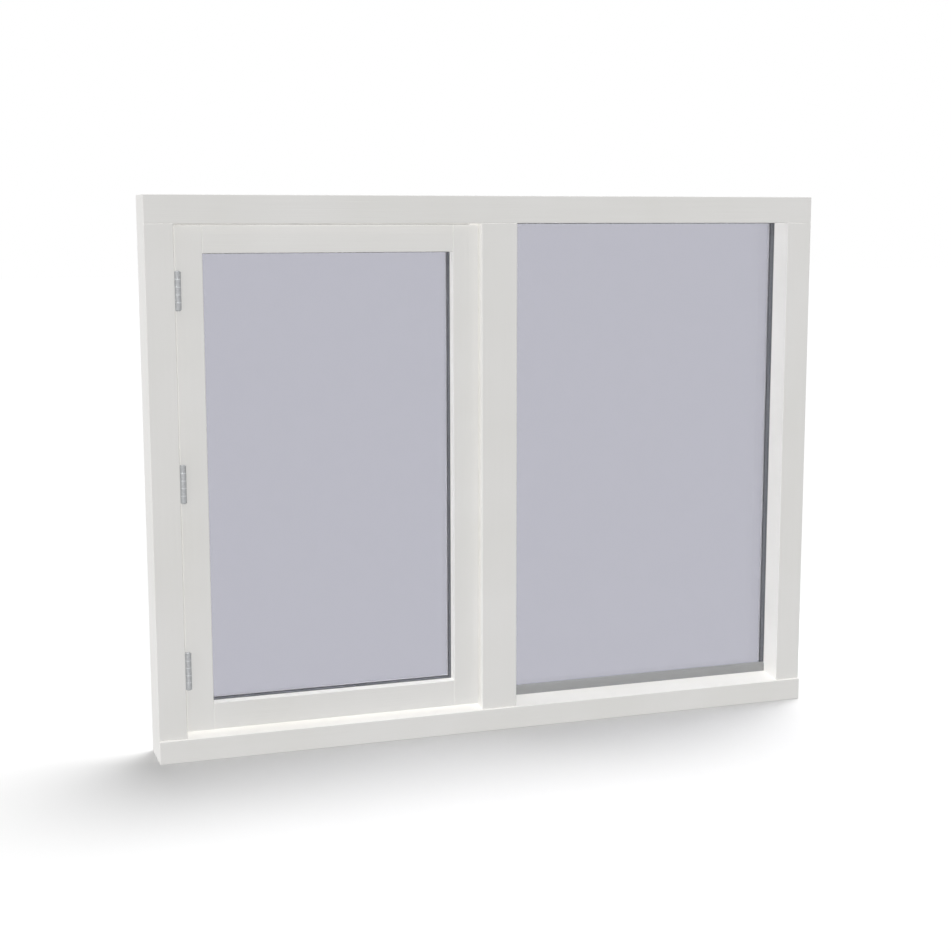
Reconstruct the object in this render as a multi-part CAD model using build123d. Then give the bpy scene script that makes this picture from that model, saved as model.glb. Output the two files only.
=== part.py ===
from build123d import *
import os

# Painted timber window: a side-hung casement sash beside a fixed light, in one frame with a mullion.
# X runs along the window, from the hinge side to the fixed light. Y runs from outside to inside. Z is up.
# The origin is the middle of the sill's underside. Lengths are in millimetres.

# Frame, as seen from outside
FRAME_WIDTH = 1410.0
FRAME_HEIGHT = 1100.0
FRAME_DEPTH = 95.0
JAMB_FACE = 55.0
HEAD_FACE = 54.0
SILL_FACE = 53.0  # height of the sill behind its slope
SILL_NOSE = 45.5  # height of the sill at its front
SILL_PROJECTION = 5.0  # how far the sill stands out in front of the frame
MULLION_FACE = 75.0
MULLION_CENTRE = 705.0  # from the hinge side of the frame
FRAME_ARRIS = 1.0  # rounding of the frame's edges

# Drip groove under the sill
DRIP_SET_BACK = 12.0
DRIP_WIDTH = 7.0
DRIP_DEPTH = 6.0

# Casement sash
SASH_SET_BACK = 15.0
SASH_THICKNESS = 60.0
SASH_GAP = 3.0  # clearance between the sash and the frame, all round
STILE_FACE = 53.0
TOP_RAIL_FACE = 53.0
BOTTOM_RAIL_FACE = 53.0
SASH_ARRIS = 1.0

# Stop that the sash closes against, and the seal in its groove
STOP_LAP = 13.0  # how far the stop stands out from the rebate
SEAL_WIDTH = 8.0
SEAL_THICKNESS = 3.0
SEAL_SPLAY = 1.2
SEAL_STEM = 2.0
SEAL_GROOVE = 6.0
SEAL_INSET = 6.5  # from the stop's edge to the middle of the seal

# Glazing, the same in the sash and in the fixed light
GLAZING_REBATE = 14.0
GLASS_EDGE_GAP = 3.0  # from the glass to the bottom of its rebate
OUTER_GASKET = 3.0
PANE = 4.0
CAVITY = 12.0
INNER_GASKET = 2.0
SPACER_HEIGHT = 10.0
BEAD_DEPTH = 12.0
BEAD_SPLAY = 4.0

# Metal bead along the foot of the fixed light
FOOT_BEAD_HEIGHT = 20.0
FOOT_BEAD_THICKNESS = 5.0
FOOT_BEAD_SPLAY = 3.0

# Butt hinges
HINGE_LENGTH = 73.0
HINGE_FROM_END = 180.0  # from the frame's top or bottom to a hinge's middle
KNUCKLES = 5
KNUCKLE_GAP = 0.4
BARREL_RADIUS = 6.0
BARREL_CLEARANCE = 0.5  # between the barrel and the sash's face
PIN_RADIUS = 3.2
PIN_CLEARANCE = 0.05
PIN_TIP_RADIUS = 4.8
PIN_TIP_HEIGHT = 1.5
LEAF_THICKNESS = 2.0
LEAF_REACH = 28.0
LEAF_BITE = 1.0  # how far the barrel overlaps the frame's leaf

# Lever handle inside, on the stile opposite the hinges
HANDLE_HEIGHT = 550.0
HANDLE_PLATE_MARGIN = 2.5  # from the plate to the bead on one side and to the stop on the other
HANDLE_PLATE_LENGTH = 66.0
HANDLE_PLATE_THICKNESS = 8.0
HANDLE_PLATE_SPLAY = 1.5
LEVER_STAND_OFF = 45.0  # from the sash to the middle of the lever
LEVER_DROP = 118.0
LEVER_WIDTH = 18.0
LEVER_THICKNESS = 11.0
LEVER_SPLAY = 3.0
LEVER_TIP_SPLAY = 2.0
LEVER_BEND = 14.0

# Planes that several pieces share
LEFT = -FRAME_WIDTH / 2
RIGHT = FRAME_WIDTH / 2
FRONT = -FRAME_DEPTH / 2
BACK = FRAME_DEPTH / 2
SILL_FRONT = FRONT - SILL_PROJECTION
HEAD_UNDERSIDE = FRAME_HEIGHT - HEAD_FACE

BAY_LEFT = LEFT + JAMB_FACE
BAY_RIGHT = RIGHT - JAMB_FACE
MULLION_LEFT = LEFT + MULLION_CENTRE - MULLION_FACE / 2
MULLION_RIGHT = LEFT + MULLION_CENTRE + MULLION_FACE / 2

SASH_FRONT = FRONT + SASH_SET_BACK
SASH_BACK = SASH_FRONT + SASH_THICKNESS
SASH_LEFT = BAY_LEFT + SASH_GAP
SASH_RIGHT = MULLION_LEFT - SASH_GAP
SASH_BOTTOM = SILL_FACE + SASH_GAP
SASH_TOP = HEAD_UNDERSIDE - SASH_GAP

STOP_FRONT = SASH_BACK + SEAL_THICKNESS
STOP_XS = (BAY_LEFT + STOP_LAP, MULLION_LEFT - STOP_LAP)
STOP_ZS = (SILL_FACE + STOP_LAP, HEAD_UNDERSIDE - STOP_LAP)


class Light:
    """One glazed opening: its sight lines, and the y planes of the layers that close it."""

    def __init__(self, xs, zs, back):
        self.xs = xs
        self.zs = zs
        self.back = back
        self.bead_front = back - BEAD_DEPTH
        inner_back = self.bead_front - INNER_GASKET
        self.inner_pane = (inner_back - PANE, inner_back)
        self.cavity = (self.inner_pane[0] - CAVITY, self.inner_pane[0])
        self.outer_pane = (self.cavity[0] - PANE, self.cavity[0])
        self.gasket_front = self.outer_pane[0] - OUTER_GASKET
        self.rebate_xs, self.rebate_zs = self.grown(GLAZING_REBATE)
        self.glass_edge = GLAZING_REBATE - GLASS_EDGE_GAP

    def grown(self, margin):
        """The opening's x and z pairs, moved outwards by a margin."""
        return (self.xs[0] - margin, self.xs[1] + margin), (self.zs[0] - margin, self.zs[1] + margin)


SASH_LIGHT = Light(
    (SASH_LEFT + STILE_FACE, SASH_RIGHT - STILE_FACE),
    (SASH_BOTTOM + BOTTOM_RAIL_FACE, SASH_TOP - TOP_RAIL_FACE),
    SASH_BACK,
)
FIXED_LIGHT = Light((MULLION_RIGHT, BAY_RIGHT), (SILL_FACE, HEAD_UNDERSIDE), BACK)


def block(xs, ys, zs):
    """Box between three pairs of planes."""
    size = [high - low for low, high in (xs, ys, zs)]
    return Pos(xs[0], ys[0], zs[0]) * Box(*size, align=(Align.MIN, Align.MIN, Align.MIN))


def run_along_x(section, xs):
    """Section of (y, z) points, run between two x planes."""
    return extrude(Plane.YZ.offset(xs[0]) * make_face(Polyline(*section, close=True)), xs[1] - xs[0])


def run_along_y(outline, ys):
    """Outline of (x, z) points, run between two y planes."""
    return extrude(Plane.XZ.offset(-ys[1]) * make_face(Polyline(*outline, close=True)), ys[1] - ys[0])


def run_along_z(section, zs):
    """Section of (x, y) points, run between two heights."""
    return extrude(Plane.XY.offset(zs[0]) * make_face(Polyline(*section, close=True)), zs[1] - zs[0])


def carry_round(section, xs, zs):
    """Sketch of (outward, y) carried round an upright rectangle in two halves, with mitred corners."""
    middle = (xs[0] + xs[1]) / 2
    halves = []
    for side, first, last, along in ((xs[1], zs[0], zs[1], 1), (xs[0], zs[1], zs[0], -1)):
        path = Polyline((middle, 0, first), (side, 0, first), (side, 0, last), (middle, 0, last))
        start = Plane(origin=(middle, 0, first), x_dir=(0, 0, -along), z_dir=(along, 0, 0))
        halves.append(sweep(start * section, path=path, transition=Transition.RIGHT))
    return halves[0] + halves[1]


def rectangle(outward, ys):
    """Rectangular section between two outward distances and two y planes."""
    size = (outward[1] - outward[0], ys[1] - ys[0])
    return Pos(outward[0], ys[0]) * Rectangle(*size, align=(Align.MIN, Align.MIN))


def edges_on(shape, axis, **place):
    """Straight edges along an axis that pass through the given coordinates, such as Y=3."""
    found = shape.edges().filter_by(axis)
    for name, value in place.items():
        found = [edge for edge in found if abs(getattr(edge.center(), name) - value) < 0.01]
    return found


def rounded(shape, axis, radius, *places):
    """Shape with its edges along an axis rounded at the places given."""
    return fillet([edge for place in places for edge in edges_on(shape, axis, **place)], radius)


def eased_in_front(shape, radius):
    """Shape with the whole outline of its front face rounded, so that each joint shows as a fine groove."""
    return fillet(shape.faces().sort_by(Axis.Y)[0].edges(), radius)


# Frame


def sill_section():
    """The sill's top slopes from the glazing line down to a lower nose, so that it sheds water."""
    return [
        (SILL_FRONT, 0.0),
        (SILL_FRONT, SILL_NOSE),
        (FIXED_LIGHT.gasket_front, SILL_FACE),
        (BACK, SILL_FACE),
        (BACK, 0.0),
    ]


def fixed_rebate():
    """Space that the fixed light's glass and beads take out of the frame."""
    return block(FIXED_LIGHT.rebate_xs, (FIXED_LIGHT.gasket_front, BACK), FIXED_LIGHT.rebate_zs)


def seal_groove():
    """Groove in the stop's face, all round, that the seal's stem fills."""
    stem = rectangle((-SEAL_STEM / 2, SEAL_STEM / 2), (STOP_FRONT, STOP_FRONT + SEAL_GROOVE))
    return carry_round(Pos(SEAL_INSET, 0) * stem, STOP_XS, STOP_ZS)


def weather_seal():
    """Seal on the stop, which the closed sash presses on: a flat bulb on a stem."""
    half = SEAL_WIDTH / 2
    stem = SEAL_STEM / 2
    section = make_face(
        Polyline(
            (-stem, STOP_FRONT + SEAL_GROOVE),
            (stem, STOP_FRONT + SEAL_GROOVE),
            (stem, STOP_FRONT),
            (half, STOP_FRONT),
            (half, SASH_BACK + SEAL_SPLAY),
            (half - SEAL_SPLAY, SASH_BACK),
            (SEAL_SPLAY - half, SASH_BACK),
            (-half, SASH_BACK + SEAL_SPLAY),
            (-half, STOP_FRONT),
            (-stem, STOP_FRONT),
            close=True,
        )
    )
    return carry_round(Pos(SEAL_INSET, 0) * section, STOP_XS, STOP_ZS)


def sill():
    """Sill with its slope, the stop behind the sash, and a drip groove underneath."""
    body = run_along_x(sill_section(), (LEFT, RIGHT))
    body += block(STOP_XS, (STOP_FRONT, BACK), (SILL_FACE, STOP_ZS[0]))
    body -= fixed_rebate()
    drip_front = SILL_FRONT + DRIP_SET_BACK
    body -= block((LEFT, RIGHT), (drip_front, drip_front + DRIP_WIDTH), (0.0, DRIP_DEPTH))
    body = eased_in_front(rounded(body, Axis.X, FRAME_ARRIS, {"Y": BACK}), FRAME_ARRIS)
    return body - seal_groove()


def head():
    """Head across both lights, with the sash's stop and the fixed light's rebate."""
    body = block((LEFT, RIGHT), (FRONT, BACK), (HEAD_UNDERSIDE, FRAME_HEIGHT))
    body += block(STOP_XS, (STOP_FRONT, BACK), (STOP_ZS[1], HEAD_UNDERSIDE))
    body -= fixed_rebate()
    body = eased_in_front(rounded(body, Axis.X, FRAME_ARRIS, {"Y": BACK}), FRAME_ARRIS)
    return body - seal_groove()


def upright(section):
    """Jamb or mullion of (x, y) section that stands on the sill, scribed to its slope, under the head."""
    body = run_along_z(section, (0.0, HEAD_UNDERSIDE))
    body -= run_along_x(sill_section(), (LEFT, RIGHT))
    return eased_in_front(rounded(body, Axis.Z, FRAME_ARRIS, {"Y": BACK}), FRAME_ARRIS)


def left_jamb():
    """Hinge jamb, with the sash's rebate in front of its stop."""
    section = [
        (LEFT, FRONT),
        (BAY_LEFT, FRONT),
        (BAY_LEFT, STOP_FRONT),
        (STOP_XS[0], STOP_FRONT),
        (STOP_XS[0], BACK),
        (LEFT, BACK),
    ]
    return upright(section) - seal_groove()


def right_jamb():
    """Jamb of the fixed light, with its glazing rebate open to the inside."""
    section = [
        (RIGHT, FRONT),
        (BAY_RIGHT, FRONT),
        (BAY_RIGHT, FIXED_LIGHT.gasket_front),
        (FIXED_LIGHT.rebate_xs[1], FIXED_LIGHT.gasket_front),
        (FIXED_LIGHT.rebate_xs[1], BACK),
        (RIGHT, BACK),
    ]
    return upright(section)


def mullion():
    """Mullion with the sash's stop on one side and the fixed light's rebate on the other."""
    section = [
        (MULLION_LEFT, FRONT),
        (MULLION_RIGHT, FRONT),
        (MULLION_RIGHT, FIXED_LIGHT.gasket_front),
        (FIXED_LIGHT.rebate_xs[0], FIXED_LIGHT.gasket_front),
        (FIXED_LIGHT.rebate_xs[0], BACK),
        (STOP_XS[1], BACK),
        (STOP_XS[1], STOP_FRONT),
        (MULLION_LEFT, STOP_FRONT),
    ]
    return upright(section) - seal_groove()


# Sash


def sash_section(outer, sight, rebate):
    """Section of a stile or rail as (across, y) points: a lip in front of the glazing rebate."""
    return [
        (outer, SASH_FRONT),
        (sight, SASH_FRONT),
        (sight, SASH_LIGHT.gasket_front),
        (rebate, SASH_LIGHT.gasket_front),
        (rebate, SASH_BACK),
        (outer, SASH_BACK),
    ]


def sash_stile(outer, side):
    """Full-height stile. Side is 0 at the hinges and 1 at the lock."""
    section = sash_section(outer, SASH_LIGHT.xs[side], SASH_LIGHT.rebate_xs[side])
    body = run_along_z(section, (SASH_BOTTOM, SASH_TOP))
    return eased_in_front(rounded(body, Axis.Z, SASH_ARRIS, {"X": outer, "Y": SASH_BACK}), SASH_ARRIS)


def sash_rail(outer, side):
    """Rail whose shoulders run on into the stiles' rebates. Side is 0 at the bottom and 1 at the top."""
    section = sash_section(outer, SASH_LIGHT.zs[side], SASH_LIGHT.rebate_zs[side])
    body = run_along_x([(y, z) for z, y in section], SASH_LIGHT.rebate_xs)
    for end in (0, 1):
        lip_xs = sorted((SASH_LIGHT.rebate_xs[end], SASH_LIGHT.xs[end]))
        body -= block(lip_xs, (SASH_FRONT, SASH_LIGHT.gasket_front), (SASH_BOTTOM, SASH_TOP))
    return eased_in_front(rounded(body, Axis.X, SASH_ARRIS, {"Z": outer, "Y": SASH_BACK}), SASH_ARRIS)


def sash_hinge_stile():
    """Stile at the hinges, with a housing in its edge for each sash leaf."""
    body = sash_stile(SASH_LEFT, 0)
    for middle in HINGE_MIDDLES:
        body -= block(SASH_LEAF_XS, LEAF_YS, hinge_span(middle))
    return body


# Glazing


def glass_ring(light, inner, ys):
    """Ring from the edge of the glass to an inner line, as an outward distance from the sight line."""
    return carry_round(rectangle((inner, light.glass_edge), ys), light.xs, light.zs)


def pane(light, ys):
    """Sheet of glass that stands in the rebate."""
    glass_xs, glass_zs = light.grown(light.glass_edge)
    return block(glass_xs, ys, glass_zs)


def glazing_beads(light):
    """Four mitred beads that hold the glass from inside, each splayed on its inner edge."""
    section = make_face(
        Polyline(
            (0.0, light.bead_front),
            (GLAZING_REBATE, light.bead_front),
            (GLAZING_REBATE, light.back),
            (BEAD_SPLAY, light.back),
            (0.0, light.back - BEAD_SPLAY),
            close=True,
        )
    )
    frame_of_beads = carry_round(section, light.xs, light.zs)
    (left, right), (bottom, top) = light.rebate_xs, light.rebate_zs
    (sight_left, sight_right), (sight_bottom, sight_top) = light.xs, light.zs
    outlines = {
        "top": [(left, top), (right, top), (sight_right, sight_top), (sight_left, sight_top)],
        "bottom": [(left, bottom), (right, bottom), (sight_right, sight_bottom), (sight_left, sight_bottom)],
        "left": [(left, bottom), (left, top), (sight_left, sight_top), (sight_left, sight_bottom)],
        "right": [(right, bottom), (right, top), (sight_right, sight_top), (sight_right, sight_bottom)],
    }
    bead_ys = (light.bead_front, light.back)
    return {side: frame_of_beads & run_along_y(outline, bead_ys) for side, outline in outlines.items()}


def fixed_foot_bead():
    """Metal bead that covers the glass edge along the sill, splayed to shed water."""
    glass_face = FIXED_LIGHT.outer_pane[0]
    face = glass_face - FOOT_BEAD_THICKNESS
    slope = (SILL_FACE - SILL_NOSE) / (FIXED_LIGHT.gasket_front - SILL_FRONT)
    foot = SILL_FACE - slope * (FIXED_LIGHT.gasket_front - face)
    crown = SILL_FACE + FOOT_BEAD_HEIGHT
    section = [
        (glass_face, SILL_FACE),
        (FIXED_LIGHT.gasket_front, SILL_FACE),
        (face, foot),
        (face, crown - FOOT_BEAD_SPLAY),
        (face + FOOT_BEAD_SPLAY, crown),
        (glass_face, crown),
    ]
    return run_along_x(section, FIXED_LIGHT.xs)


# Hinges

HINGE_MIDDLES = (HINGE_FROM_END, FRAME_HEIGHT / 2, FRAME_HEIGHT - HINGE_FROM_END)
HINGE_NAMES = ("bottom_hinge", "middle_hinge", "top_hinge")
HINGE_X = BAY_LEFT + LEAF_THICKNESS - LEAF_BITE + BARREL_RADIUS
HINGE_Y = SASH_FRONT - BARREL_CLEARANCE - BARREL_RADIUS
LEAF_YS = (SASH_FRONT, SASH_FRONT + LEAF_REACH)
FRAME_LEAF_XS = (BAY_LEFT, BAY_LEFT + LEAF_THICKNESS)
SASH_LEAF_XS = (SASH_LEFT, SASH_LEFT + LEAF_THICKNESS)


def hinge_span(middle):
    """Lowest and highest point of a hinge's barrel."""
    return middle - HINGE_LENGTH / 2, middle + HINGE_LENGTH / 2


def hinge_leaf(middle, leaf_xs, first):
    """Plate in the gap beside the sash, with every second knuckle from the first curled round the pin."""
    low, high = hinge_span(middle)
    pitch = (high - low) / KNUCKLES
    tongue = Pos(leaf_xs[0], HINGE_Y) * Rectangle(
        LEAF_THICKNESS, SASH_FRONT - HINGE_Y, align=(Align.MIN, Align.MIN)
    )
    curl = tongue + Pos(HINGE_X, HINGE_Y) * Circle(BARREL_RADIUS)
    curl -= Pos(HINGE_X, HINGE_Y) * Circle(PIN_RADIUS + PIN_CLEARANCE)
    body = block(leaf_xs, LEAF_YS, (low, high))
    for number in range(first, KNUCKLES, 2):
        foot = low + pitch * number + KNUCKLE_GAP / 2
        body += Pos(0, 0, foot) * extrude(curl, pitch - KNUCKLE_GAP)
    return body


def hinge_pin(middle):
    """Turned pin through the knuckles, with a splayed tip at each end."""
    low, high = hinge_span(middle)
    outline = Polyline(
        (0, low - PIN_TIP_HEIGHT),
        (PIN_TIP_RADIUS - PIN_TIP_HEIGHT, low - PIN_TIP_HEIGHT),
        (PIN_TIP_RADIUS, low),
        (PIN_RADIUS, low),
        (PIN_RADIUS, high),
        (PIN_TIP_RADIUS, high),
        (PIN_TIP_RADIUS - PIN_TIP_HEIGHT, high + PIN_TIP_HEIGHT),
        (0, high + PIN_TIP_HEIGHT),
        close=True,
    )
    return Pos(HINGE_X, HINGE_Y, 0) * revolve(Plane.XZ * make_face(outline), Axis.Z)


# Handle

HANDLE_PLATE_WIDTH = STOP_XS[1] - SASH_LIGHT.rebate_xs[1] - 2 * HANDLE_PLATE_MARGIN
HANDLE_X = (STOP_XS[1] + SASH_LIGHT.rebate_xs[1]) / 2
HANDLE_PLATE_BACK = SASH_BACK + HANDLE_PLATE_THICKNESS


def handle_plate():
    """Long plate with round ends on the lock stile, splayed round its rim."""
    outline = Plane.XZ * SlotOverall(HANDLE_PLATE_LENGTH, HANDLE_PLATE_WIDTH, rotation=90)
    body = Pos(HANDLE_X, SASH_BACK, HANDLE_HEIGHT) * extrude(outline, -HANDLE_PLATE_THICKNESS)
    return chamfer(body.faces().sort_by(Axis.Y)[-1].edges(), HANDLE_PLATE_SPLAY)


def handle_lever():
    """Flat bar that stands out of the plate and bends down into the grip."""
    reach = SASH_BACK + LEVER_STAND_OFF
    path = FilletPolyline(
        (HANDLE_X, HANDLE_PLATE_BACK, HANDLE_HEIGHT),
        (HANDLE_X, reach, HANDLE_HEIGHT),
        (HANDLE_X, reach, HANDLE_HEIGHT - LEVER_DROP),
        radius=LEVER_BEND,
    )
    start = Plane(origin=(HANDLE_X, HANDLE_PLATE_BACK, HANDLE_HEIGHT), x_dir=(1, 0, 0), z_dir=(0, 1, 0))
    section = chamfer(Rectangle(LEVER_WIDTH, LEVER_THICKNESS).vertices(), LEVER_SPLAY)
    body = sweep(start * section, path=path)
    return chamfer(body.faces().sort_by(Axis.Z)[0].edges(), LEVER_TIP_SPLAY)


def build():
    """All the window's pieces by name."""
    pieces = {
        "head": head(),
        "sill": sill(),
        "left_jamb": left_jamb(),
        "right_jamb": right_jamb(),
        "mullion": mullion(),
        "weather_seal": weather_seal(),
        "sash_hinge_stile": sash_hinge_stile(),
        "sash_lock_stile": sash_stile(SASH_RIGHT, 1),
        "sash_bottom_rail": sash_rail(SASH_BOTTOM, 0),
        "sash_top_rail": sash_rail(SASH_TOP, 1),
        "fixed_foot_bead": fixed_foot_bead(),
        "handle_plate": handle_plate(),
        "handle_lever": handle_lever(),
    }
    for light_name, light in (("sash", SASH_LIGHT), ("fixed", FIXED_LIGHT)):
        outer_ys = (light.gasket_front, light.outer_pane[0])
        inner_ys = (light.inner_pane[1], light.bead_front)
        pieces[f"{light_name}_outer_gasket"] = glass_ring(light, 0.0, outer_ys)
        pieces[f"{light_name}_outer_pane"] = pane(light, light.outer_pane)
        pieces[f"{light_name}_spacer"] = glass_ring(light, light.glass_edge - SPACER_HEIGHT, light.cavity)
        pieces[f"{light_name}_inner_pane"] = pane(light, light.inner_pane)
        pieces[f"{light_name}_inner_gasket"] = glass_ring(light, 0.0, inner_ys)
        for side, bead in glazing_beads(light).items():
            pieces[f"{light_name}_{side}_bead"] = bead
    for hinge_name, middle in zip(HINGE_NAMES, HINGE_MIDDLES):
        pieces[f"{hinge_name}_frame_leaf"] = hinge_leaf(middle, FRAME_LEAF_XS, 0)
        pieces[f"{hinge_name}_sash_leaf"] = hinge_leaf(middle, SASH_LEAF_XS, 1)
        pieces[f"{hinge_name}_pin"] = hinge_pin(middle)
    return pieces


os.makedirs("parts", exist_ok=True)
for name, shape in build().items():
    export_step(shape, f"parts/{name}.step")
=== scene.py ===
"""Looks of a white painted timber window: a side-hung casement beside a fixed light, in a white studio."""
import logging
import math
from dataclasses import dataclass
from enum import Enum

import bmesh
import bpy
import numpy as np
from mathutils import Matrix, Vector


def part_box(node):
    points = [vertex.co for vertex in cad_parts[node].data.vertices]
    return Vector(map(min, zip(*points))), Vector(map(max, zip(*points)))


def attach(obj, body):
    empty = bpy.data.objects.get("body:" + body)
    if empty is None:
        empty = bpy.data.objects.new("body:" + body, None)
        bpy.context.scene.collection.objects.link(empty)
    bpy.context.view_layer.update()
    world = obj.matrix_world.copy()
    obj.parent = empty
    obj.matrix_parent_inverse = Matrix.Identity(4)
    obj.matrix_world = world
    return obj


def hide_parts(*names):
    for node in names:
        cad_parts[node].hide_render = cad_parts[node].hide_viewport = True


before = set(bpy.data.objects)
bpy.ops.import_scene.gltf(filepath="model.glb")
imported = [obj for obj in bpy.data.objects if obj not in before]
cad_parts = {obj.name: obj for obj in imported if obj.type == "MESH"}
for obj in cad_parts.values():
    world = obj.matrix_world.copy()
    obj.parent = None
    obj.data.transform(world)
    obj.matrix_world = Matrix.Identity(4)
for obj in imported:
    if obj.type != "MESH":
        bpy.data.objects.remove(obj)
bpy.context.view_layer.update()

LOG = logging.getLogger("window")
BODY = "root"
MM = 0.001
NOISE_LOW, NOISE_HIGH = 0.3, 0.7  # nearly all of a noise pattern lies between these
FACTOR, FIRST, SECOND, RESULT = 0, 6, 7, 2  # sockets of a Mix node that mixes colours
MERGED = 0.001 * MM  # points this close are one
SHARP = math.radians(50.0)  # edges stay sharp from this angle on

Tree = bpy.types.NodeTree
Socket = bpy.types.NodeSocket
Inputs = dict[str | int, object]


class Slot(Enum):
    """Material slots of the record."""

    TIMBER = "white_painted_timber"
    GLASS = "clear_glass"
    RUBBER = "black_rubber"
    SPACER = "dark_spacer"
    ALUMINIUM = "grey_aluminium"
    ZINC = "galvanised_steel"
    SATIN = "satin_metal"


class Grain(Enum):
    """Which way a member runs, as 1 on that axis."""

    LEVEL = (1, 0, 0)
    UPRIGHT = (0, 0, 1)

    def repeats(self, across: float, along: float) -> tuple[float, ...]:
        """Repeats per metre on each axis, for a pattern this many metres across and along the grain."""
        return tuple(1 / along if axis else 1 / across for axis in self.value)


class Lights(Enum):
    """What a lamp lights, as the floor's state in the lamp's list."""

    FLOOR = "INCLUDE"
    WINDOW = "EXCLUDE"


def linear(colour: str) -> tuple[float, ...]:
    """Turn an sRGB hex colour into linear light.

    Args:
        colour: six hex digits after a hash sign.

    Returns:
        Linear red, green and blue, and an alpha of 1.
    """
    parts = np.array([int(colour[at:at + 2], 16) for at in (1, 3, 5)]) / 255
    light = np.where(parts <= 0.04045, parts / 12.92, ((parts + 0.055) / 1.055) ** 2.4)
    return (*light.tolist(), 1.0)


def add_node(
    tree: Tree,
    kind: str,
    settings: dict[str, object] | None = None,
    inputs: Inputs | None = None,
) -> bpy.types.Node:
    """Add a node with its settings, input values and links.

    Args:
        tree: node tree that gets the node.
        kind: Blender's name for the node, after ShaderNode.
        settings: the node's own properties.
        inputs: for each input, by name or number, a value, a socket, or a node whose first output feeds it.

    Returns:
        The new node.
    """
    node = tree.nodes.new("ShaderNode" + kind)
    for name, value in (settings or {}).items():
        setattr(node, name, value)
    for key, value in (inputs or {}).items():
        source = value.outputs[0] if isinstance(value, bpy.types.Node) else value
        if isinstance(source, Socket):
            tree.links.new(source, node.inputs[key])
        else:
            node.inputs[key].default_value = source
    return node


class Finish:
    """A surface finish. Its subclasses name the material and shade it."""

    name: str
    slot: Slot

    def material(self) -> bpy.types.Material:
        """Find this finish's material, or make it on first use."""
        return bpy.data.materials.get(self.name) or self.make()

    def make(self) -> bpy.types.Material:
        """Make the material.

        Returns:
            A material with one shader, which has the inputs that the subclass gives.
        """
        material = bpy.data.materials.new(self.name)
        material.use_nodes = True
        tree = material.node_tree
        tree.nodes.clear()
        place = add_node(tree, "TexCoord").outputs["Object"]
        shader = add_node(tree, "BsdfPrincipled", inputs=self.shade(tree, place))
        add_node(tree, "OutputMaterial", inputs={"Surface": shader})
        return material

    def shade(self, tree: Tree, place: Socket) -> Inputs:
        """Add the nodes of the finish's patterns.

        Args:
            tree: the material's node tree.
            place: object coordinates, in metres.

        Returns:
            Inputs of the shader.
        """
        raise NotImplementedError


@dataclass(frozen=True)
class PaintedTimber(Finish):
    """Satin white paint, brushed on planed pine.

    It is even and soft to the eye. Close by, the grain stands out a little under the film, the brush has
    left fine lines along each member, and the sheen changes with them.
    """

    grain: Grain
    pale: str = "#F0EFED"
    deep: str = "#ECEBE8"
    cloud: float = 180.0 * MM
    ring_width: float = 5.0 * MM
    ring_length: float = 260.0 * MM
    brush_pitch: float = 1.6 * MM  # real brush lines are finer, and are drawn coarser here so that they show
    brush_length: float = 90.0 * MM
    brush_share: float = 0.4  # height of the brush lines beside the grain's
    ring_detail: float = 3.0
    brush_detail: float = 1.0
    relief: float = 0.25 * MM
    bump_strength: float = 1.0
    ior: float = 1.5
    smooth: float = 0.40
    rough: float = 0.50
    slot: Slot = Slot.TIMBER

    @property
    def name(self) -> str:
        """The material's name."""
        return f"satin_paint_on_pine_{self.grain.name.lower()}"

    def shade(self, tree: Tree, place: Socket) -> Inputs:
        """Pale film over grain and brush lines, both drawn out along the member.

        Args:
            tree: the material's node tree.
            place: object coordinates, in metres.

        Returns:
            Inputs of the shader.
        """
        ring_scale = self.grain.repeats(self.ring_width, self.ring_length)
        ring_place = add_node(tree, "Mapping", inputs={"Vector": place, "Scale": ring_scale})
        ring_inputs = {"Vector": ring_place, "Scale": 1.0, "Detail": self.ring_detail}
        rings = add_node(tree, "TexNoise", inputs=ring_inputs)
        brush_scale = self.grain.repeats(self.brush_pitch, self.brush_length)
        brush_place = add_node(tree, "Mapping", inputs={"Vector": place, "Scale": brush_scale})
        brush_inputs = {"Vector": brush_place, "Scale": 1.0, "Detail": self.brush_detail}
        brush = add_node(tree, "TexNoise", inputs=brush_inputs)
        height_inputs = {0: brush, 1: self.brush_share, 2: rings}
        height = add_node(tree, "Math", {"operation": "MULTIPLY_ADD"}, height_inputs)
        bump_inputs = {"Strength": self.bump_strength, "Distance": self.relief, "Height": height}
        bump = add_node(tree, "Bump", inputs=bump_inputs)
        clouds = add_node(tree, "TexNoise", inputs={"Vector": place, "Scale": 1 / self.cloud})
        tone_inputs = {"Value": clouds, "From Min": NOISE_LOW, "From Max": NOISE_HIGH}
        tone = add_node(tree, "MapRange", inputs=tone_inputs)
        mix_inputs = {FACTOR: tone, FIRST: linear(self.pale), SECOND: linear(self.deep)}
        colour = add_node(tree, "Mix", {"data_type": "RGBA"}, mix_inputs).outputs[RESULT]
        sheen_inputs = {
            "Value": brush,
            "From Min": NOISE_LOW,
            "From Max": NOISE_HIGH,
            "To Min": self.smooth,
            "To Max": self.rough,
        }
        sheen = add_node(tree, "MapRange", inputs=sheen_inputs)
        return {"Base Color": colour, "Roughness": sheen, "IOR": self.ior, "Normal": bump}


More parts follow.
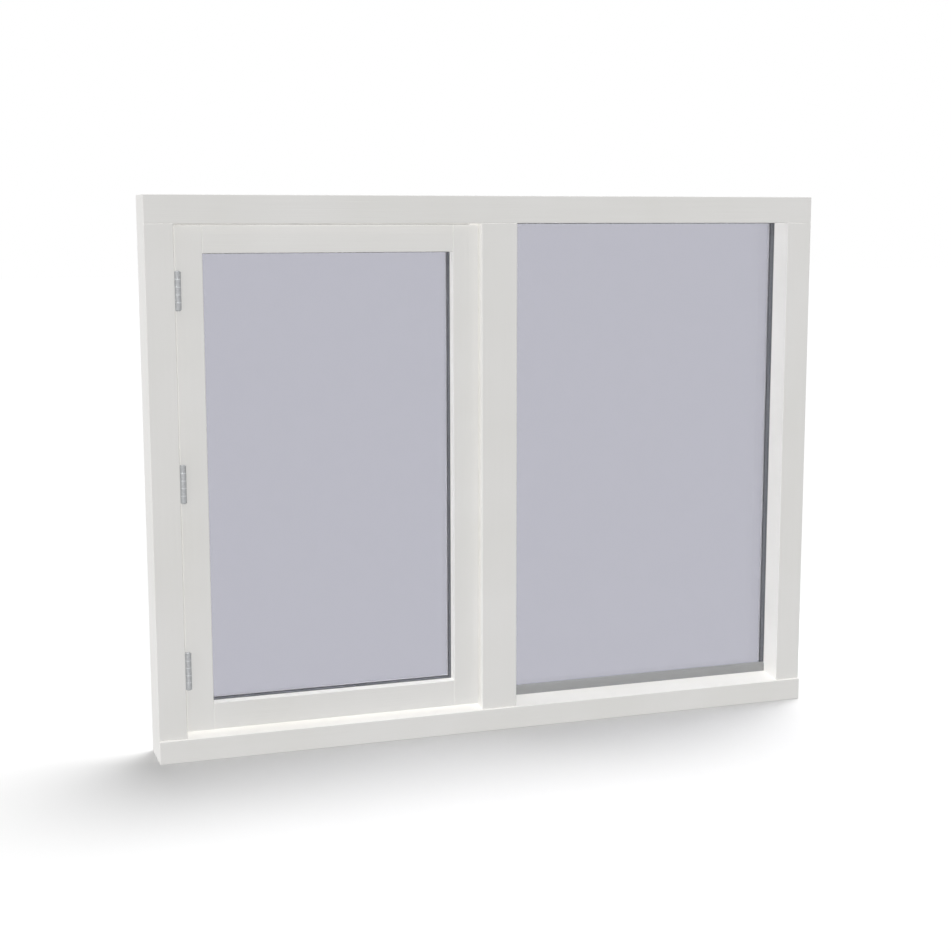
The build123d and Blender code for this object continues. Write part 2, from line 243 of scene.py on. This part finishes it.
@dataclass(frozen=True)
class FloatGlass(Finish):
    """Float glass with a light neutral tint.

    It is clear and smooth, and greys a white background a little towards blue.
    """

    tint: str = "#D8D8DE"
    wave: float = 280.0 * MM
    wave_detail: float = 0.0
    relief: float = 0.1 * MM
    bump_strength: float = 0.1
    ior: float = 1.5
    name: str = "tinted_float_glass"
    slot: Slot = Slot.GLASS

    def shade(self, tree: Tree, place: Socket) -> Inputs:
        """Tinted glass, with the slow roller wave of a toughened sheet.

        Args:
            tree: the material's node tree.
            place: object coordinates, in metres.

        Returns:
            Inputs of the shader.
        """
        wave_inputs = {"Vector": place, "Scale": 1 / self.wave, "Detail": self.wave_detail}
        wave = add_node(tree, "TexNoise", inputs=wave_inputs)
        bump_inputs = {"Strength": self.bump_strength, "Distance": self.relief, "Height": wave}
        bump = add_node(tree, "Bump", inputs=bump_inputs)
        return {
            "Base Color": linear(self.tint),
            "Roughness": 0.0,
            "IOR": self.ior,
            "Transmission Weight": 1.0,
            "Normal": bump,
        }


@dataclass(frozen=True)
class GasketRubber(Finish):
    """Dark grey EPDM rubber, extruded.

    It is matt and dark, with a paler bloom in patches and a fine grit.
    """

    dark: str = "#4A4C4E"
    bloom: str = "#5C5E60"
    patch: float = 25.0 * MM
    patch_detail: float = 4.0
    grit: float = 1.2 * MM
    relief: float = 0.05 * MM
    bump_strength: float = 0.3
    ior: float = 1.52
    smooth: float = 0.55
    rough: float = 0.72
    name: str = "extruded_epdm_rubber"
    slot: Slot = Slot.RUBBER

    def shade(self, tree: Tree, place: Socket) -> Inputs:
        """Dark ground with patches of bloom, and a grit that breaks the sheen.

        Args:
            tree: the material's node tree.
            place: object coordinates, in metres.

        Returns:
            Inputs of the shader.
        """
        patch_inputs = {"Vector": place, "Scale": 1 / self.patch, "Detail": self.patch_detail}
        patches = add_node(tree, "TexNoise", inputs=patch_inputs)
        grit = add_node(tree, "TexNoise", inputs={"Vector": place, "Scale": 1 / self.grit})
        bump_inputs = {"Strength": self.bump_strength, "Distance": self.relief, "Height": grit}
        bump = add_node(tree, "Bump", inputs=bump_inputs)
        mix_inputs = {FACTOR: patches, FIRST: linear(self.dark), SECOND: linear(self.bloom)}
        colour = add_node(tree, "Mix", {"data_type": "RGBA"}, mix_inputs).outputs[RESULT]
        sheen_inputs = {"Value": grit, "To Min": self.smooth, "To Max": self.rough}
        sheen = add_node(tree, "MapRange", inputs=sheen_inputs)
        return {"Base Color": colour, "Roughness": sheen, "IOR": self.ior, "Normal": bump}


@dataclass(frozen=True)
class SpacerBar(Finish):
    """Dark warm-edge spacer bar, rolled plastic on foil.

    It is a dull dark grey band round the glass, with faint lines along it.
    """

    dark: str = "#616467"
    pale: str = "#767A7D"
    line: float = 2.0 * MM
    line_length: float = 125.0 * MM
    smooth: float = 0.45
    rough: float = 0.60
    ior: float = 1.5
    name: str = "warm_edge_spacer_bar"
    slot: Slot = Slot.SPACER

    def shade(self, tree: Tree, place: Socket) -> Inputs:
        """Dark ground with soft lines, which are close only across the cavity.

        Args:
            tree: the material's node tree.
            place: object coordinates, in metres.

        Returns:
            Inputs of the shader.
        """
        scale = (1 / self.line_length, 1 / self.line, 1 / self.line_length)
        line_place = add_node(tree, "Mapping", inputs={"Vector": place, "Scale": scale})
        lines = add_node(tree, "TexNoise", inputs={"Vector": line_place, "Scale": 1.0})
        mix_inputs = {FACTOR: lines, FIRST: linear(self.dark), SECOND: linear(self.pale)}
        colour = add_node(tree, "Mix", {"data_type": "RGBA"}, mix_inputs).outputs[RESULT]
        sheen_inputs = {"Value": lines, "To Min": self.smooth, "To Max": self.rough}
        sheen = add_node(tree, "MapRange", inputs=sheen_inputs)
        return {"Base Color": colour, "Roughness": sheen, "IOR": self.ior}


@dataclass(frozen=True)
class BrushedMetal(Finish):
    """Metal with fine lines along one way, and a tone and sheen that change a little with them."""

    name: str
    slot: Slot
    bright: str
    dull: str
    along: Grain
    smooth: float
    rough: float
    line: float = 0.9 * MM  # real lines are finer, and are drawn coarser here so that they show
    line_length: float = 60.0 * MM
    relief: float = 0.02 * MM
    bump_strength: float = 0.2

    def shade(self, tree: Tree, place: Socket) -> Inputs:
        """Metal whose tone, roughness and height follow the lines.

        Args:
            tree: the material's node tree.
            place: object coordinates, in metres.

        Returns:
            Inputs of the shader.
        """
        scale = self.along.repeats(self.line, self.line_length)
        line_place = add_node(tree, "Mapping", inputs={"Vector": place, "Scale": scale})
        lines = add_node(tree, "TexNoise", inputs={"Vector": line_place, "Scale": 1.0})
        bump_inputs = {"Strength": self.bump_strength, "Distance": self.relief, "Height": lines}
        bump = add_node(tree, "Bump", inputs=bump_inputs)
        mix_inputs = {FACTOR: lines, FIRST: linear(self.bright), SECOND: linear(self.dull)}
        colour = add_node(tree, "Mix", {"data_type": "RGBA"}, mix_inputs).outputs[RESULT]
        sheen_inputs = {"Value": lines, "To Min": self.smooth, "To Max": self.rough}
        sheen = add_node(tree, "MapRange", inputs=sheen_inputs)
        return {"Base Color": colour, "Metallic": 1.0, "Roughness": sheen, "Normal": bump}


@dataclass(frozen=True)
class ZincCoat(Finish):
    """Steel under a coat of zinc.

    It is a matt grey metal in small crystals, which differ a little in tone and sheen and run into each
    other. Its dull film scatters part of the light, as paint does.
    """

    name: str
    bright: str
    dull: str
    metallic: float
    crystal: float = 2.5 * MM
    blend: float = 0.6  # how far the crystals run into each other
    smooth: float = 0.50
    rough: float = 0.62
    slot: Slot = Slot.ZINC

    def shade(self, tree: Tree, place: Socket) -> Inputs:
        """Crystals from a softened cell pattern, each with its own tone and roughness.

        Args:
            tree: the material's node tree.
            place: object coordinates, in metres.

        Returns:
            Inputs of the shader.
        """
        cell_inputs = {"Vector": place, "Scale": 1 / self.crystal, "Smoothness": self.blend}
        cells = add_node(tree, "TexVoronoi", {"feature": "SMOOTH_F1"}, cell_inputs)
        tone = add_node(tree, "SeparateColor", inputs={"Color": cells.outputs["Color"]})
        mix_inputs = {FACTOR: tone, FIRST: linear(self.bright), SECOND: linear(self.dull)}
        colour = add_node(tree, "Mix", {"data_type": "RGBA"}, mix_inputs).outputs[RESULT]
        sheen_inputs = {"Value": tone, "To Min": self.smooth, "To Max": self.rough}
        sheen = add_node(tree, "MapRange", inputs=sheen_inputs)
        return {"Base Color": colour, "Metallic": self.metallic, "Roughness": sheen}


LEVEL_PAINT = PaintedTimber(Grain.LEVEL)
UPRIGHT_PAINT = PaintedTimber(Grain.UPRIGHT)
GLASS = FloatGlass()
RUBBER = GasketRubber()
SPACER = SpacerBar()
# Hot-dip galvanised steel: a dull mid grey with crystals that show
ZINC = ZincCoat("hot_dip_galvanised_steel", "#C4C6C8", "#B6B8BA", metallic=0.4)
# Electroplated zinc: paler, brighter and smoother, with no crystals to speak of
BRIGHT_ZINC = ZincCoat(
    "bright_zinc_plated_steel",
    "#DCDEE0",
    "#D2D4D6",
    metallic=0.8,
    crystal=1.0 * MM,
    smooth=0.34,
    rough=0.40,
)
# Anodised extrusion: a flat mid grey with die lines along its length
ALUMINIUM = BrushedMetal(
    "grey_anodised_aluminium",
    Slot.ALUMINIUM,
    "#A5A6A7",
    "#9A9B9C",
    along=Grain.LEVEL,
    smooth=0.40,
    rough=0.50,
)
# Satin stainless steel: a soft bright metal with a fine upright brush
SATIN = BrushedMetal(
    "satin_stainless_steel",
    Slot.SATIN,
    "#BDBCB9",
    "#A9A8A5",
    along=Grain.UPRIGHT,
    smooth=0.28,
    rough=0.42,
)


def dress(finish: Finish, *nodes: str) -> None:
    """Give CAD nodes a finish.

    Args:
        finish: what the nodes are made of.
        nodes: names of the nodes.
    """
    for node in nodes:
        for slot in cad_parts[node].material_slots:
            slot.material = finish.material()
        LOG.info("%s: %s", node, finish.name)


def add_piece(name: str, points: np.ndarray, finish: Finish, ring: bool = False) -> bpy.types.Object:
    """Make a piece from grids of points, with a quad between each four neighbours.

    Each grid is closed from its last column to its first. In a ring the last row joins the first, and
    otherwise each end closes onto the middle of its row. Points that fall together, as at a pole, are
    merged.

    Args:
        name: name of the piece.
        points: array of grids by rows by columns by 3, in metres.
        finish: what the piece is made of.
        ring: True if the last row joins the first.

    Returns:
        The piece, which rides on the window.
    """
    if not ring:
        middles = np.broadcast_to(points.mean(axis=2, keepdims=True), points.shape)
        points = np.concatenate([middles[:, :1], points, middles[:, -1:]], axis=1)
    number = np.arange(points.size // 3).reshape(points.shape[:3])
    below = number if ring else number[:, :-1]
    above = np.roll(number, -1, axis=1) if ring else number[:, 1:]
    quads = np.stack([below, np.roll(below, -1, axis=2), np.roll(above, -1, axis=2), above], axis=-1)
    mesh = bpy.data.meshes.new(name)
    mesh.from_pydata(points.reshape(-1, 3), [], quads.reshape(-1, 4))
    tidy = bmesh.new()
    tidy.from_mesh(mesh)
    bmesh.ops.remove_doubles(tidy, verts=tidy.verts, dist=MERGED)
    bmesh.ops.recalc_face_normals(tidy, faces=tidy.faces)
    tidy.to_mesh(mesh)
    tidy.free()
    mesh.shade_smooth()
    mesh.set_sharp_from_angle(angle=SHARP)
    mesh.materials.append(finish.material())
    piece = bpy.data.objects.new(name, mesh)
    bpy.context.scene.collection.objects.link(piece)
    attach(piece, BODY)
    LOG.info("%s: %d faces, %s", name, len(mesh.polygons), finish.name)
    return piece


def all_round(sides: int) -> np.ndarray:
    """Even angles all round, one for each side."""
    return np.linspace(0, 2 * math.pi, sides, endpoint=False)


def turned(radius: np.ndarray, height: np.ndarray, centres: np.ndarray, axis: str, sides: int) -> np.ndarray:
    """Turn a profile about an axis at each centre.

    A point at radius r and height h goes to (r cos a, r sin a) round the centre and h along the axis, for
    angles a all round.

    Args:
        radius: array with a row for each point of the profile and one column, in metres.
        height: the same, or with a column for each side where the height changes all round.
        centres: array of points on the axis, in metres.
        axis: name of the axis.
        sides: steps all round.

    Returns:
        One grid for each centre, with a row for each point of the profile.
    """
    angle = all_round(sides)
    parts = [radius * np.cos(angle), radius * np.sin(angle)]
    parts.insert("xyz".index(axis), height + 0 * angle)
    return np.stack(parts, axis=-1) + centres[:, None, None, :]


@dataclass
class OuterFrame:
    """Head, sill, jambs and mullion, and the seal on the sash's stop."""

    level: tuple[str, ...] = ("head", "sill")
    upright: tuple[str, ...] = ("left_jamb", "right_jamb", "mullion")
    seal: str = "weather_seal"

    def dress(self) -> None:
        """Paint the timber along its grain, and give the seal its rubber."""
        dress(LEVEL_PAINT, *self.level)
        dress(UPRIGHT_PAINT, *self.upright)
        dress(RUBBER, self.seal)


@dataclass
class Casement:
    """Stiles and rails of the opening sash."""

    stiles: tuple[str, ...] = ("sash_hinge_stile", "sash_lock_stile")
    rails: tuple[str, ...] = ("sash_top_rail", "sash_bottom_rail")

    def dress(self) -> None:
        """Paint stiles and rails, each along its own grain."""
        dress(UPRIGHT_PAINT, *self.stiles)
        dress(LEVEL_PAINT, *self.rails)


@dataclass
class GlazedLight:
    """Sealed glass unit of one opening, with its gaskets, spacer and beads."""

    light: str
    foot: str | None = None  # piece that covers the foot of the glass outside
    lip_reach: float = 1.2 * MM
    lip_inset: float = 0.1 * MM  # from the lip to the gasket's face and to the glass
    lip_steps: int = 13
    pin_radius: float = 1.2 * MM
    pin_height: float = 0.35 * MM
    pin_pitch: float = 160.0 * MM
    pin_from_end: float = 45.0 * MM
    pin_steps: int = 5
    pin_sides: int = 12
    fewest_pins: int = 2

    def node(self, part: str) -> str:
        """Name of one of this light's nodes."""
        return f"{self.light}_{part}"

    def sight_lines(self) -> tuple[float, float, float, float]:
        """Find the edges of the glass that shows.

        Returns:
            Left, right, bottom and top, from the inner edges of the beads.
        """
        left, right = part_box(self.node("left_bead"))[1].x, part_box(self.node("right_bead"))[0].x
        bottom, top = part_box(self.node("bottom_bead"))[1].z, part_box(self.node("top_bead"))[0].z
        return left, right, bottom, top

    def build_lip(self) -> None:
        """Soft lip of the outer gasket, which bears on the glass.

        Half an ellipse of (outward, y), bulging inwards from the sight line, carried round the corners of
        the glass. Each corner moves a point of the section by its outward distance on both axes, which
        mitres it.
        """
        left, right, bottom, top = self.sight_lines()
        outside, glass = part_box(self.node("outer_gasket"))[0].y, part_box(self.node("outer_pane"))[0].y
        turn = np.linspace(0, math.pi, self.lip_steps)
        outward = -self.lip_reach * np.sin(turn)
        depth = (outside + glass) / 2 - ((glass - outside) / 2 - self.lip_inset) * np.cos(turn)
        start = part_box(self.foot)[1].z if self.foot else bottom
        corners = np.array([(left, start), (left, top), (right, top), (right, start)])
        low = 0 if self.foot else -1  # square on the foot piece, or else mitred
        ways = np.array([(-1, low), (-1, 1), (1, 1), (1, low)])
        across = corners[:, None, :] + outward[None, :, None] * ways[:, None, :]
        depths = np.broadcast_to(depth, across.shape[:2])
        points = np.stack([across[..., 0], depths, across[..., 1]], axis=-1)
        add_piece(self.node("gasket_lip"), points[None], RUBBER, ring=self.foot is None)

    def build_pins(self) -> None:
        """Painted heads of the pins that hold the beads inside.

        A low dome, radius times the cosine and height times the sine of an angle, turned at even steps along
        each bead.
        """
        rise = np.linspace(0, math.pi / 2, self.pin_steps)[:, None]
        places = []
        for side in ("top", "bottom", "left", "right"):
            low, high = (np.array(corner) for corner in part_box(self.node(f"{side}_bead")))
            run = int(np.argmax(high - low))
            count = max(self.fewest_pins, round((high[run] - low[run]) / self.pin_pitch))
            row = np.tile((low + high) / 2, (count, 1))
            row[:, run] = np.linspace(low[run] + self.pin_from_end, high[run] - self.pin_from_end, count)
            row[:, 1] = high[1]
            places.append(row)
        centres = np.concatenate(places)
        radius, height = self.pin_radius * np.cos(rise), self.pin_height * np.sin(rise)
        points = turned(radius, height, centres, "y", self.pin_sides)
        add_piece(self.node("bead_pins"), points, LEVEL_PAINT)

    def dress(self) -> None:
        """Give each layer of the glazing its finish."""
        dress(GLASS, self.node("outer_pane"), self.node("inner_pane"))
        dress(RUBBER, self.node("outer_gasket"), self.node("inner_gasket"))
        dress(SPACER, self.node("spacer"))
        dress(LEVEL_PAINT, self.node("top_bead"), self.node("bottom_bead"))
        dress(UPRIGHT_PAINT, self.node("left_bead"), self.node("right_bead"))
        if self.foot:
            dress(ALUMINIUM, self.foot)


@dataclass
class Hinge:
    """Butt hinge: two leaves with their knuckles, the pin, and washers between the knuckles."""

    place: str
    knuckles: int = 5
    barrel_radius: float = 6.0 * MM
    washer_stand: float = 0.25 * MM  # how far a washer stands out of the barrel
    washer_height: float = 1.3 * MM
    washer_steps: int = 10
    washer_sides: int = 32

    def node(self, part: str) -> str:
        """Name of one of this hinge's nodes."""
        return f"{self.place}_hinge_{part}"

    def build_washers(self) -> None:
        """Plated washers in the joints between the knuckles.

        An ellipse of (radius, height) about the barrel's surface, turned about the pin at each joint.
        """
        pin_low, pin_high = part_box(self.node("pin"))
        leaf_low, leaf_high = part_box(self.node("frame_leaf"))
        middle = (pin_low + pin_high) / 2
        joints = np.linspace(leaf_low.z, leaf_high.z, self.knuckles + 1)[1:-1]
        centres = np.array([(middle.x, middle.y, joint) for joint in joints])
        turn = all_round(self.washer_steps)[:, None]
        radius = self.barrel_radius + self.washer_stand * np.cos(turn)
        height = self.washer_height / 2 * np.sin(turn)
        points = turned(radius, height, centres, "z", self.washer_sides)
        add_piece(self.node("washers"), points, BRIGHT_ZINC, ring=True)

    def dress(self) -> None:
        """Galvanise the leaves and the pin."""
        dress(ZINC, self.node("frame_leaf"), self.node("sash_leaf"), self.node("pin"))


@dataclass
class Handle:
    """Lever handle inside, on the lock stile."""

    collar_radius: float = 11.0 * MM
    collar_height: float = 7.0 * MM
    collar_rounding: float = 2.4 * MM
    collar_steps: int = 7
    collar_sides: int = 40
    grip_width: float = 9.0 * MM  # half the lever's width at its widest
    grip_thickness: float = 5.5 * MM  # half the lever's thickness
    tip_share: float = 0.82  # width of the lever at its tip, beside its widest
    bend: float = 14.0 * MM
    squareness: float = 3.2
    neck_steps: int = 5
    bend_steps: int = 13
    grip_steps: int = 40
    grip_sides: int = 48
    screw_radius: float = 3.6 * MM
    screw_height: float = 1.3 * MM
    screw_spacing: float = 42.0 * MM
    screw_steps: int = 25
    screw_sides: int = 64
    recess_depth: float = 0.9 * MM
    recess_reach: float = 2.1 * MM
    recess_width: float = 0.5 * MM  # half the width of each arm of the cross

    def build_lever(self) -> None:
        """Lever with a soft section, bent down from its neck.

        The middle line goes straight out, round a quarter circle and straight down. At each point of it
        stands a superellipse: cosine and sine of an angle, each to the power 2 / squareness. The width falls
        off a little towards the tip, and both half sizes fall to nothing over the last stretch as the root
        of 1 - t squared.
        """
        low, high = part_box("handle_lever")
        middle = (low.x + high.x) / 2
        reach, height = high.y - self.grip_thickness, high.z - self.grip_thickness
        out = np.linspace(low.y, reach - self.bend, self.neck_steps)[:-1]
        turn = np.linspace(0, math.pi / 2, self.bend_steps)
        fall = np.linspace(height - self.bend, low.z, self.grip_steps)[1:]
        bend_y = reach - self.bend + self.bend * np.sin(turn)
        bend_z = height - self.bend + self.bend * np.cos(turn)
        line_y = np.concatenate([out, bend_y, np.full(fall.size, reach)])
        line_z = np.concatenate([np.full(out.size, height), bend_z, fall])
        lean = np.concatenate([np.zeros(out.size), turn, np.full(fall.size, math.pi / 2)])
        share = np.clip((height - line_z) / (height - low.z), 0, 1)
        near_tip = np.clip((low.z + self.grip_width - line_z) / self.grip_width, 0, 1)
        rounding = np.sqrt(1 - near_tip**2)
        width = self.grip_width * (1 - (1 - self.tip_share) * share) * rounding
        thickness = self.grip_thickness * rounding
        angle = all_round(self.grip_sides)
        across = np.sign(np.cos(angle)) * np.abs(np.cos(angle)) ** (2 / self.squareness)
        through = np.sign(np.sin(angle)) * np.abs(np.sin(angle)) ** (2 / self.squareness)
        offset = thickness[:, None] * through
        points = np.stack(
            [
                middle + width[:, None] * across,
                line_y[:, None] + offset * np.sin(lean)[:, None],
                line_z[:, None] + offset * np.cos(lean)[:, None],
            ],
            axis=-1,
        )
        lever = add_piece("handle_grip", points[None], SATIN)
        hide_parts("handle_lever")

    def build_collar(self) -> None:
        """Turned collar between plate and lever: straight sides under a quarter-round shoulder."""
        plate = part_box("handle_plate")[1]
        low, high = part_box("handle_lever")
        shoulder = np.linspace(0, math.pi / 2, self.collar_steps)
        flat_radius = self.collar_radius - self.collar_rounding
        side_height = self.collar_height - self.collar_rounding
        radius = np.append(self.collar_radius, flat_radius + self.collar_rounding * np.cos(shoulder))
        height = np.append(0.0, side_height + self.collar_rounding * np.sin(shoulder))
        centre = np.array([[(low.x + high.x) / 2, plate.y, high.z - self.grip_thickness]])
        points = turned(radius[:, None], height[:, None], centre, "y", self.collar_sides)
        add_piece("handle_collar", points, SATIN)

    def build_screws(self) -> None:
        """Domed screw heads with a cross recess, at both ends of the plate.

        At radius r the dome stands at its height times the root of 1 - r squared. From it the recess takes
        its depth times the larger of two bars, which fall off across as exp(-d^4), and times exp(-r^8)
        along them.
        """
        low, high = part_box("handle_plate")
        radius = self.screw_radius * np.linspace(1, 0, self.screw_steps)[:, None]
        angle = all_round(self.screw_sides)
        across = radius * np.stack([np.cos(angle), np.sin(angle)])[:, None]
        bars = np.exp(-((across / self.recess_width) ** 4))
        cross = bars.max(axis=0) * np.exp(-((radius / self.recess_reach) ** 8))
        dome = self.screw_height * np.sqrt(1 - (radius / self.screw_radius) ** 2)
        middle = np.array([(low.x + high.x) / 2, high.y, (low.z + high.z) / 2])
        centres = middle + np.array([(0, 0, -self.screw_spacing / 2), (0, 0, self.screw_spacing / 2)])
        points = turned(radius, dome - self.recess_depth * cross, centres, "y", self.screw_sides)
        add_piece("handle_screws", points, SATIN)

    def dress(self) -> None:
        """Give the plate its satin finish."""
        dress(SATIN, "handle_plate")


@dataclass(frozen=True)
class Lamp:
    """Soft lamp, far away. The window shades the floor, and its own pieces only where a lamp says so."""

    name: str
    # How bright it makes a white face that looks towards it along x, y or z
    light: tuple[float, float, float]
    lights: Lights
    spread: float = 22.0  # degrees across
    gloss: bool = True  # whether it makes highlights
    shaded_by: tuple[str, ...] = ()  # CAD nodes that do shade others from it

    def add(self, floor: bpy.types.Object) -> None:
        """Hang the lamp, for the floor alone or for everything but the floor.

        Args:
            floor: the studio's floor.
        """
        data = bpy.data.lights.new(self.name, "SUN")
        data.energy = math.pi * Vector(self.light).length  # an energy of pi gives white a brightness of 1
        data.angle = math.radians(self.spread)
        data.use_shadow = self.lights is Lights.FLOOR or bool(self.shaded_by)
        # Glass shows the white studio, and not the lamp
        data.cycles.use_multiple_importance_sampling = False
        lamp = bpy.data.objects.new(self.name, data)
        lamp.visible_glossy = self.gloss
        lamp.matrix_world = Vector(self.light).to_track_quat("Z", "Y").to_matrix().to_4x4()
        bpy.context.scene.collection.objects.link(lamp)
        lit = bpy.data.collections.new(f"{self.name}_lights")
        lit.objects.link(floor)
        lit.collection_objects[0].light_linking.link_state = self.lights.value
        lamp.light_linking.receiver_collection = lit
        if self.shaded_by:
            shade = bpy.data.collections.new(f"{self.name}_shade")
            for node in self.shaded_by:
                shade.objects.link(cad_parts[node])
            lamp.light_linking.blocker_collection = shade
        LOG.info("%s: for the %s", self.name, self.lights.name.lower())


@dataclass
class Studio:
    """White floor, soft light and the camera."""

    floor_reach: float = 30.0  # metres from its middle to each side
    floor_white: str = "#F7F7F7"
    floor_light: float = 0.55  # what the floor throws back onto the window
    world_light: float = 0.40  # what the surroundings throw onto everything
    lamps: tuple[Lamp, ...] = (
        Lamp("overhead_lamp", (0.17, 0.14, 0.71), Lights.FLOOR, spread=28.0),
        Lamp("key_lamp", (-0.38, -0.295, 0.53), Lights.WINDOW),
        # Its light would build up in the gap under the sash, so the pieces there keep it out
        Lamp(
            "back_lamp",
            (0.03, 0.20, -0.10),
            Lights.WINDOW,
            gloss=False,
            shaded_by=("sill", "sash_bottom_rail"),
        ),
    )
    camera_place: tuple[float, float, float] = (-1.13361, -3.20502, 1.04494)
    camera_yaw: float = 0.33001  # towards +X from straight on, in radians
    camera_pitch: float = 0.150174  # downwards, in radians
    camera_roll: float = 0.001343  # in radians
    sensor: float = 36.0  # millimetres across
    lens: float = 62.85  # focal length in millimetres

    @staticmethod
    def seen(tree: Tree, *kinds: str) -> Socket:
        """Tell rays that show something to the camera from rays that carry light between surfaces.

        Args:
            tree: node tree of a material or of the world.
            kinds: outputs of the Light Path node to look for.

        Returns:
            1 for a ray of these kinds that no matt surface has scattered, and otherwise 0.
        """
        path = add_node(tree, "LightPath").outputs
        below_one = 0.5
        depth_inputs = {0: path["Diffuse Depth"], 1: below_one}
        unscattered = add_node(tree, "Math", {"operation": "LESS_THAN"}, depth_inputs)
        found = path[kinds[0]]
        for kind in kinds[1:]:
            found = add_node(tree, "Math", {"operation": "MAXIMUM"}, {0: found, 1: path[kind]})
        return add_node(tree, "Math", {"operation": "MULTIPLY"}, {0: found, 1: unscattered}).outputs[0]

    def white(self, tree: Tree, light: float, *kinds: str) -> Socket:
        """Strength of a surrounding that is white to the eye and dimmer as a light.

        Args:
            tree: node tree of a material or of the world.
            light: its strength as a light.
            kinds: outputs of the Light Path node for the rays that see it.

        Returns:
            The strength.
        """
        inputs = {"Value": self.seen(tree, *kinds), "To Min": light, "To Max": 1.0}
        return add_node(tree, "MapRange", inputs=inputs).outputs[0]

    def build_floor(self) -> bpy.types.Object:
        """Build the flat white floor, with the window's shadow, but plain white in gloss and through glass.

        Returns:
            The floor.
        """
        corners = self.floor_reach * np.array([(-1, -1, 0), (1, -1, 0), (1, 1, 0), (-1, 1, 0)])
        mesh = bpy.data.meshes.new("floor")
        mesh.from_pydata(corners.tolist(), [], [(0, 1, 2, 3)])
        material = bpy.data.materials.new("white_studio_floor")
        material.use_nodes = True
        tree = material.node_tree
        tree.nodes.clear()
        paper = add_node(tree, "BsdfDiffuse", inputs={"Color": linear(self.floor_white)})
        strength = self.white(tree, self.floor_light, "Is Glossy Ray", "Is Transmission Ray")
        white = add_node(tree, "Emission", inputs={"Strength": strength})
        eye = self.seen(tree, "Is Camera Ray")
        surface = add_node(tree, "MixShader", inputs={0: eye, 1: white, 2: paper})
        add_node(tree, "OutputMaterial", inputs={"Surface": surface})
        mesh.materials.append(material)
        floor = bpy.data.objects.new("floor", mesh)
        bpy.context.scene.collection.objects.link(floor)
        return floor

    def build_world(self) -> None:
        """Even white surroundings: white to the eye, dimmer as a light."""
        world = bpy.data.worlds.new("white_studio")
        world.use_nodes = True
        tree = world.node_tree
        tree.nodes.clear()
        kinds = ("Is Camera Ray", "Is Glossy Ray", "Is Transmission Ray")
        strength = self.white(tree, self.world_light, *kinds)
        sky = add_node(tree, "Background", inputs={"Color": linear("#FFFFFF"), "Strength": strength})
        add_node(tree, "OutputWorld", inputs={"Surface": sky})
        bpy.context.scene.world = world

    def build_camera(self) -> None:
        """Camera at the photograph's place, turned by its yaw, pitch and roll."""
        data = bpy.data.cameras.new("camera")
        data.sensor_fit = "HORIZONTAL"
        data.sensor_width = self.sensor
        data.lens = self.lens
        data.clip_end = 4 * self.floor_reach  # past the floor's far corner
        camera = bpy.data.objects.new("camera", data)
        yaw = Matrix.Rotation(-self.camera_yaw, 4, "Z")
        pitch = Matrix.Rotation(math.pi / 2 - self.camera_pitch, 4, "X")
        roll = Matrix.Rotation(-self.camera_roll, 4, "Z")
        camera.matrix_world = Matrix.Translation(self.camera_place) @ yaw @ pitch @ roll
        bpy.context.scene.collection.objects.link(camera)
        bpy.context.scene.camera = camera

    def build(self) -> None:
        """Set up floor, light and camera."""
        bpy.context.scene.view_settings.view_transform = "Standard"
        floor = self.build_floor()
        self.build_world()
        for lamp in self.lamps:
            lamp.add(floor)
        self.build_camera()


def main() -> None:
    """Build and dress the window, piece by piece."""
    logging.basicConfig(level=logging.INFO, format="%(name)s %(message)s")
    OuterFrame().dress()
    Casement().dress()
    for light in (GlazedLight("sash"), GlazedLight("fixed", foot="fixed_foot_bead")):
        light.dress()
        light.build_lip()
        light.build_pins()
    for place in ("bottom", "middle", "top"):
        hinge = Hinge(place)
        hinge.dress()
        hinge.build_washers()
    handle = Handle()
    handle.dress()
    handle.build_lever()
    handle.build_collar()
    handle.build_screws()
    Studio().build()


if __name__ == "__main__":
    main()
